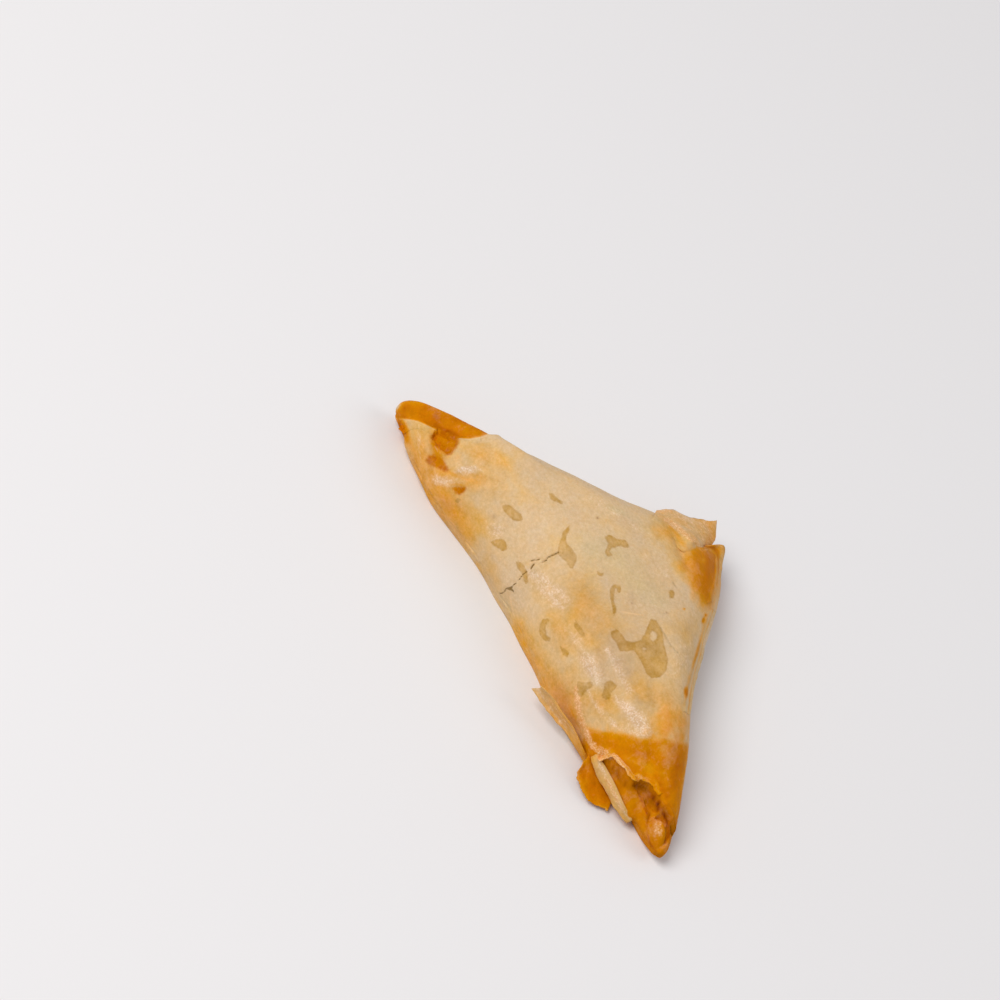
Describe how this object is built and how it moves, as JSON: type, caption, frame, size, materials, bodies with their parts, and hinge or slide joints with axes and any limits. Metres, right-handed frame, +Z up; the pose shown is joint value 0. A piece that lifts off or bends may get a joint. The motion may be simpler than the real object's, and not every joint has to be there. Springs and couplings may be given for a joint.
{
  "type": "spanakopita",
  "caption": "Folded triangle of baked filo pastry over a spinach and cheese filling, uncut, lying flat, with browned corners and loose flaky leaves.",
  "frame": {"origin": "middle of the bounding box, on the surface the pastry rests on", "axes": "+X along the long side from corner A to corner C, +Y towards the right-angled corner B, +Z up"},
  "size_m": [0.1076, 0.0616, 0.0207],
  "materials": {
    "filo": "baked and buttered, satin with glossy patches"
  },
  "bodies": {
    "root": {"pastry": "filo"}
  },
  "joints": []
}
